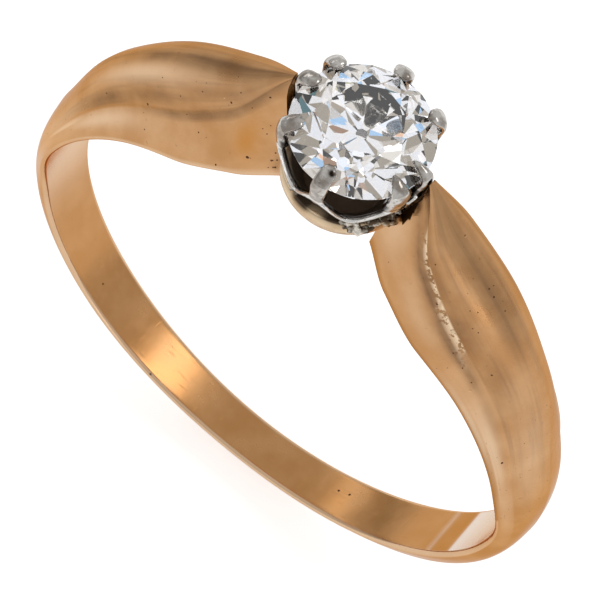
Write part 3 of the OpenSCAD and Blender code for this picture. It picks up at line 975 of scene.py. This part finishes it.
def crown_ribbon():
    rings = []
    soft = SHEET_T / 4
    for k in range(BAND_STATIONS):
        bearing = 360 * k / BAND_STATIONS
        z = band_z(bearing)
        low, high = cone_r(z), cone_r(z + BAND_H)
        a = math.radians(bearing)
        outline = [(low, z + soft), (high, z + BAND_H - soft), (high - soft, z + BAND_H),
                   (high - SHEET_T + soft, z + BAND_H), (high - SHEET_T, z + BAND_H - soft),
                   (low - SHEET_T, z + soft), (low - SHEET_T + soft, z), (low - soft, z)]
        rings.append([(r * math.cos(a), r * math.sin(a), h) for r, h in outline])
    return skin(rings, joined=True)


def claw(bearing, reach_share, breadth, tip):
    """One claw: a rounded bar from the ribbon, up past the girdle and over the stone."""
    reach = CLAW_REACH * reach_share
    foot_z = CROWN_FOOT_Z + WAVE_H
    root_z = foot_z + BAND_H
    root_t = CLAW_T + CLAW_SEAT
    mid_r = CLAW_OUT_R - CLAW_T / 2
    bend_r = mid_r - CLAW_T / 2
    bend_z = GIRDLE_Z + GIRDLE_T + CLAW_BEND
    top_z = bend_z + CLAW_T / 3
    rise = (reach + CLAW_SEAT) * TIP_SLOPE
    width = CLAW_W * breadth
    # Radius, height, heading, width and thickness at points along the claw
    path = [
        (cone_r(foot_z) - SHEET_T / 2, foot_z + 0.01, 82, width * 0.8, SHEET_T),
        (cone_r(root_z) - root_t / 2, root_z, 84, width, root_t),
        (CLAW_OUT_R - root_t / 2, GIRDLE_Z - CLAW_SEAT, 90, width, root_t),
        (mid_r, GIRDLE_Z + GIRDLE_T, 95, width, CLAW_T),
        (mid_r - CLAW_T / 8, bend_z, 120, width * tip[0], CLAW_T),
        (bend_r, top_z, 150, width * tip[1], CLAW_T),
        (bend_r - reach * 0.6, top_z + rise * 0.6, 160, width * tip[2], CLAW_T),
        (bend_r - reach * 0.95, top_z + rise * 0.8, 160, width * tip[3], CLAW_T * 0.75),
        (bend_r - reach * 1.1, top_z + rise * 0.85, 160, width * tip[4], CLAW_T * 0.4)]
    a = math.radians(bearing)
    rings = []
    for k in range(CLAW_RINGS + 1):
        along = (len(path) - 1) * k / CLAW_RINGS
        i = min(int(along), len(path) - 2)
        r, z, heading, width, thick = (lerp(p, q, along - i) for p, q in zip(path[i], path[i + 1]))
        heading = math.radians(heading)
        ring = []
        for j in range(CLAW_SIDES):
            t = 2 * math.pi * j / CLAW_SIDES
            across, out = width / 2 * math.cos(t), thick / 2 * math.sin(t)
            rr, zz = r + out * math.sin(heading), z - out * math.cos(heading)
            ring.append((rr * math.cos(a) - across * math.sin(a),
                         rr * math.sin(a) + across * math.cos(a), zz))
        rings.append(ring)
    return skin(rings)


def crown():
    bm = bmesh.new()
    parts = [crown_ribbon()] + [claw(b, s, *look) for b, s, look in
                                zip(CLAWS, TIP_REACH, CLAW_LOOKS)]
    for points, faces in parts:
        made = [bm.verts.new(p) for p in points]
        for face in faces:
            bm.faces.new([made[i] for i in face])
    bmesh.ops.recalc_face_normals(bm, faces=bm.faces)
    piece = cast("crown_cast", bm, CROWN_VOXEL, 2, WHITE)
    soot_and_shade, edge = [], []
    for vertex in piece.data.vertices:
        at = vertex.co / MM
        r = math.hypot(at.x, at.y)
        # Painted shade inside the crown and at the claw's hole
        inside = smooth_step(*INSIDE_SHADE_DEPTH, cone_r(at.z) - r)
        inside *= 1.0 - smooth_step(*INSIDE_SHADE_TOP, at.z)
        hole_shade = bell((at - Vector(CLAW_HOLE)).length, 0.0, CLAW_HOLE_R)
        soot_and_shade.append(max(inside, min(1.0, 2 * hole_shade)))
        # Painted highlights along the ribbon's upper and lower rims
        low = band_z(math.degrees(math.atan2(at.y, at.x)) % 360)
        rim_highlights = bell(at.z, low, RIM_HIGHLIGHT_REACH) + bell(at.z, low + BAND_H, RIM_HIGHLIGHT_REACH)
        edge.append(rim_highlights * (1 - inside))
    paint(piece, "soot_and_shade", soot_and_shade)
    paint(piece, "edge", edge)
    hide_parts("crown")
    return piece


# ---- Solder ----

# Lumps as (bearing, radius, height above the bore, radius of the lump)
JOINT_LUMPS = ((-9, 1.96, 1.35, 0.10), (-7, 2.0, 1.6, 0.12), (-10, 2.0, 1.85, 0.12),
               (-4, 2.02, 2.05, 0.12), (4, 2.02, 2.05, 0.11), (9, 2.0, 1.85, 0.11),
               (8, 2.0, 1.6, 0.10), (9, 1.96, 1.35, 0.09), (0, 1.96, 2.1, 0.1))
LEFT_LUMPS = ((-15, 1.97, 1.5, 0.10), (-19, 1.96, 1.72, 0.09), (-15, 1.97, 1.95, 0.09),
              (-23, 1.96, 1.55, 0.06), (-22, 1.97, 1.95, 0.06))
RIGHT_LUMPS = ((-16, 1.98, 1.95, 0.13), (-22, 1.97, 2.05, 0.11), (-14, 1.99, 1.7, 0.08))
BLOB = ((-56, 1.9, 1.95, 0.08), (-51, 1.93, 1.93, 0.12), (-45, 1.95, 1.9, 0.15),
        (-39, 1.95, 1.92, 0.14), (-34, 1.94, 1.97, 0.11), (-47, 1.9, 2.1, 0.1))
CROWN_LUMPS = ((-36, 1.88, 2.2, 0.1), (-30, 1.9, 2.16, 0.13), (-24, 1.9, 2.18, 0.12),
               (-17, 1.92, 2.2, 0.13), (-10, 1.9, 2.24, 0.12), (-4, 1.88, 2.2, 0.1))
PAD_LUMPS = ((-5, 1.84, 2.12, 0.08), (0, 1.86, 2.12, 0.09), (5, 1.84, 2.12, 0.08))
SOLDER_VOXEL = 0.02
SOLDER_PASSES = 14
SOLDER_RAGGED = 0.05
LUMP_DETAIL = 3
# How much nearer the axis the left joint's lumps sit
LEFT_SHIFT = 0.02


def solder_piece(name, node, material, lumps):
    bm = bmesh.new()
    for bearing, r, height, size in lumps:
        a = math.radians(bearing)
        at = Matrix.Translation((r * math.cos(a), r * math.sin(a), BORE_R + height))
        bmesh.ops.create_icosphere(bm, subdivisions=LUMP_DETAIL, radius=size, matrix=at)
    piece = cast(name, bm, SOLDER_VOXEL, SOLDER_PASSES, material,
                 ragged=SOLDER_RAGGED)
    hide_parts(node)


def solder_joints():
    solder_piece("solder_right_lumps", "solder_right", PALE_SOLDER, JOINT_LUMPS + RIGHT_LUMPS)
    left = [(180 - b, r - LEFT_SHIFT, h, size) for b, r, h, size in JOINT_LUMPS + LEFT_LUMPS]
    solder_piece("solder_left_lumps", "solder_left", GREEN_SOLDER, left)
    pads = []
    for claw_at, following in zip(CLAWS, CLAWS[1:] + (CLAWS[0] + 360,)):
        if following - claw_at >= BROAD_GAP:
            middle = (claw_at + following) / 2
            pads += [(middle + b, r, h, size) for b, r, h, size in PAD_LUMPS]
    solder_piece("crown_solder_lumps", "crown_solder", GREY_SOLDER,
                 tuple(pads) + BLOB + CROWN_LUMPS)


# ---- Studio ----

# The photograph's view: bearing and height of the camera, its roll, its distance, and how
# far its axis passes from the bore's centre
VIEW_AZIMUTH = 19.61
VIEW_ELEVATION = 63.48
VIEW_ROLL = 20.72
VIEW_DISTANCE = 100.0
VIEW_ASIDE = (0.317, 0.756)
VIEW_LENS = 198.42


def camera():
    azimuth, elevation, roll = map(math.radians, (VIEW_AZIMUTH, VIEW_ELEVATION, VIEW_ROLL))
    back = Vector((math.sin(azimuth) * math.cos(elevation),
                   -math.cos(azimuth) * math.cos(elevation), math.sin(elevation)))
    level = Vector((math.cos(azimuth), math.sin(azimuth), 0.0))
    up = back.cross(level)
    right = math.cos(roll) * level + math.sin(roll) * up
    top = math.cos(roll) * up - math.sin(roll) * level
    place = back * VIEW_DISTANCE + right * VIEW_ASIDE[0] + top * VIEW_ASIDE[1]
    data = bpy.data.cameras.new("camera")
    data.lens = VIEW_LENS
    data.sensor_width = 36.0
    data.clip_start = 0.001
    data.clip_end = 10.0
    eye = bpy.data.objects.new("camera", data)
    turn = Matrix((right, top, back)).transposed().to_4x4()
    eye.matrix_world = Matrix.Translation(place * MM) @ turn
    bpy.context.scene.collection.objects.link(eye)
    bpy.context.scene.camera = eye


# How much the white floor glows for the camera, and in the ring's own reflections; then half
# its width in metres
FLOOR_GLOW = (0.65, 0.38)
FLOOR_HALF = 0.6


def floor(lowest_z):
    half = FLOOR_HALF
    mesh = bpy.data.meshes.new("floor")
    mesh.from_pydata([(-half, -half, lowest_z), (half, -half, lowest_z),
                      (half, half, lowest_z), (-half, half, lowest_z)], [], [(0, 1, 2, 3)])
    piece = bpy.data.objects.new("floor", mesh)
    bpy.context.scene.collection.objects.link(piece)
    n = Nodes("floor_white")
    n.set(Base_Color=(0.8, 0.8, 0.8), Roughness=0.9)
    glow = n.add("ShaderNodeEmission")
    glow.inputs["Color"].default_value = (1.0, 1.0, 1.0, 1.0)
    path = n.add("ShaderNodeLightPath")
    mirrored = n.math("MAXIMUM", path.outputs["Is Glossy Ray"],
                      path.outputs["Is Transmission Ray"])
    n.link(n.math("ADD", n.math("MULTIPLY", path.outputs["Is Camera Ray"], FLOOR_GLOW[0]),
                  n.math("MULTIPLY", mirrored, FLOOR_GLOW[1])), glow.inputs["Strength"])
    both = n.add("ShaderNodeAddShader")
    n.link(n.shader.outputs["BSDF"], both.inputs[0])
    n.link(glow.outputs["Emission"], both.inputs[1])
    n.link(both.outputs["Shader"], n.output.inputs["Surface"])
    mesh.materials.append(n.material)


# Softboxes: bearing and height in degrees, width and depth in millimetres at LAMP_DISTANCE,
# and how bright each is, where 1 is white
LAMP_DISTANCE = 150.0
SOFTBOXES = {
    "key": (33, 49, 60, 45, 2.3),
    "side": (156, 26, 80, 26, 0.9),
    "wall": (-52, -2, 50, 14, 1.4),
}
# The room's light across X, darker at the far left: places first, then strengths
ROOM_LIGHT = (-1.0, -0.7, 0.34, 0.6)
# Panels around the stone: how finely they divide the view, their darkest and brightest
# light, the warm and cool ends of the plain ones, and how many have one of the colours
PANELS_ACROSS = 3.0
PANEL_LIGHT = (0.12, 0.7, 0.42, 1.16)
PANEL_PLAIN = ((1.0, 0.87, 0.70, 1.0), (0.89, 0.92, 1.0, 1.0))
PANEL_SHARE = 0.2
PANEL_COLOURS = ((0.92, 0.86, 0.48, 1.0), (0.24, 0.52, 0.60, 1.0), (1.0, 0.62, 0.42, 1.0),
                 (0.42, 0.66, 0.98, 1.0))


def softbox(name, azimuth, height, width, depth, radiance):
    a, h = math.radians(azimuth), math.radians(height)
    toward = Vector((math.cos(a) * math.cos(h), math.sin(a) * math.cos(h), math.sin(h)))
    data = bpy.data.lights.new(name, "AREA")
    data.shape = "RECTANGLE"
    data.size, data.size_y = width * MM, depth * MM
    data.energy = radiance * math.pi * width * depth * MM * MM
    lamp = bpy.data.objects.new(name, data)
    turn = toward.to_track_quat("Z", "Y").to_matrix().to_4x4()
    lamp.matrix_world = Matrix.Translation(toward * LAMP_DISTANCE * MM) @ turn
    bpy.context.scene.collection.objects.link(lamp)


def world():
    """A soft grey room for the metal, and a white backdrop for the camera. Through its
    facets the stone sees flat panels of light, a few of them coloured."""
    sky = bpy.data.worlds.new("studio")
    sky.use_nodes = True
    tree = sky.node_tree

    def add(kind, **settings):
        node = tree.nodes.new(kind)
        for key, value in settings.items():
            setattr(node, key, value)
        return node

    where = add("ShaderNodeTexCoord").outputs["Generated"]
    split = add("ShaderNodeSeparateXYZ")
    tree.links.new(where, split.inputs[0])
    room = add("ShaderNodeMapRange")
    for name, value in zip(("From Min", "From Max", "To Min", "To Max"), ROOM_LIGHT):
        room.inputs[name].default_value = value
    tree.links.new(split.outputs["X"], room.inputs["Value"])

    panels = add("ShaderNodeTexVoronoi", feature="F1")
    panels.inputs["Scale"].default_value = PANELS_ACROSS
    tree.links.new(where, panels.inputs["Vector"])
    parts = add("ShaderNodeSeparateColor")
    tree.links.new(panels.outputs["Color"], parts.inputs["Color"])
    light = add("ShaderNodeMapRange")
    for name, value in zip(("From Min", "From Max", "To Min", "To Max"), PANEL_LIGHT):
        light.inputs[name].default_value = value
    tree.links.new(parts.outputs["Red"], light.inputs["Value"])
    plain = add("ShaderNodeMix", data_type="RGBA")
    tree.links.new(parts.outputs["Red"], plain.inputs[0])
    plain.inputs[6].default_value, plain.inputs[7].default_value = PANEL_PLAIN
    bright = add("ShaderNodeValToRGB")
    bright.color_ramp.interpolation = "CONSTANT"
    tree.links.new(parts.outputs["Blue"], bright.inputs["Fac"])
    bright.color_ramp.elements.remove(bright.color_ramp.elements[1])
    for k, colour in enumerate(PANEL_COLOURS[1:], 1):
        bright.color_ramp.elements.new(k / len(PANEL_COLOURS)).color = colour
    bright.color_ramp.elements[0].color = PANEL_COLOURS[0]
    rare = add("ShaderNodeMath", operation="GREATER_THAN")
    tree.links.new(parts.outputs["Green"], rare.inputs[0])
    rare.inputs[1].default_value = 1.0 - PANEL_SHARE
    hue = add("ShaderNodeMix", data_type="RGBA")
    tree.links.new(rare.outputs["Value"], hue.inputs[0])
    tree.links.new(plain.outputs[2], hue.inputs[6])
    tree.links.new(bright.outputs["Color"], hue.inputs[7])

    def background(strength, colour=None):
        node = add("ShaderNodeBackground")
        tree.links.new(strength, node.inputs["Strength"])
        if colour is not None:
            tree.links.new(colour, node.inputs["Color"])
        else:
            node.inputs["Color"].default_value = (1.0, 1.0, 1.0, 1.0)
        return node.outputs["Background"]

    path = add("ShaderNodeLightPath")
    through = add("ShaderNodeMixShader")
    tree.links.new(path.outputs["Is Transmission Ray"], through.inputs[0])
    tree.links.new(background(room.outputs["Result"]), through.inputs[1])
    tree.links.new(background(light.outputs["Result"], hue.outputs[2]), through.inputs[2])
    seen = add("ShaderNodeMixShader")
    white = add("ShaderNodeBackground")
    white.inputs["Color"].default_value = (1.0, 1.0, 1.0, 1.0)
    white.inputs["Strength"].default_value = 1.0
    tree.links.new(path.outputs["Is Camera Ray"], seen.inputs[0])
    tree.links.new(through.outputs["Shader"], seen.inputs[1])
    tree.links.new(white.outputs["Background"], seen.inputs[2])
    output = next(n for n in tree.nodes if n.type == "OUTPUT_WORLD")
    tree.links.new(seen.outputs["Shader"], output.inputs["Surface"])
    bpy.context.scene.world = sky


# ---- Build ----

camera()
skin_piece, skin_columns, skin_ends = shank()
paint_shank(skin_piece, skin_columns)
strew(skin_piece, skin_columns, skin_ends)
under_bezel()
crown()
solder_joints()
for slot in nodes["diamond"].material_slots:
    slot.material = STONE

floor(cad_box[0][2])
world()
for name, (azimuth, height, width, depth, radiance) in SOFTBOXES.items():
    softbox(name, azimuth, height, width, depth, radiance)

bpy.context.scene.view_settings.view_transform = "Standard"
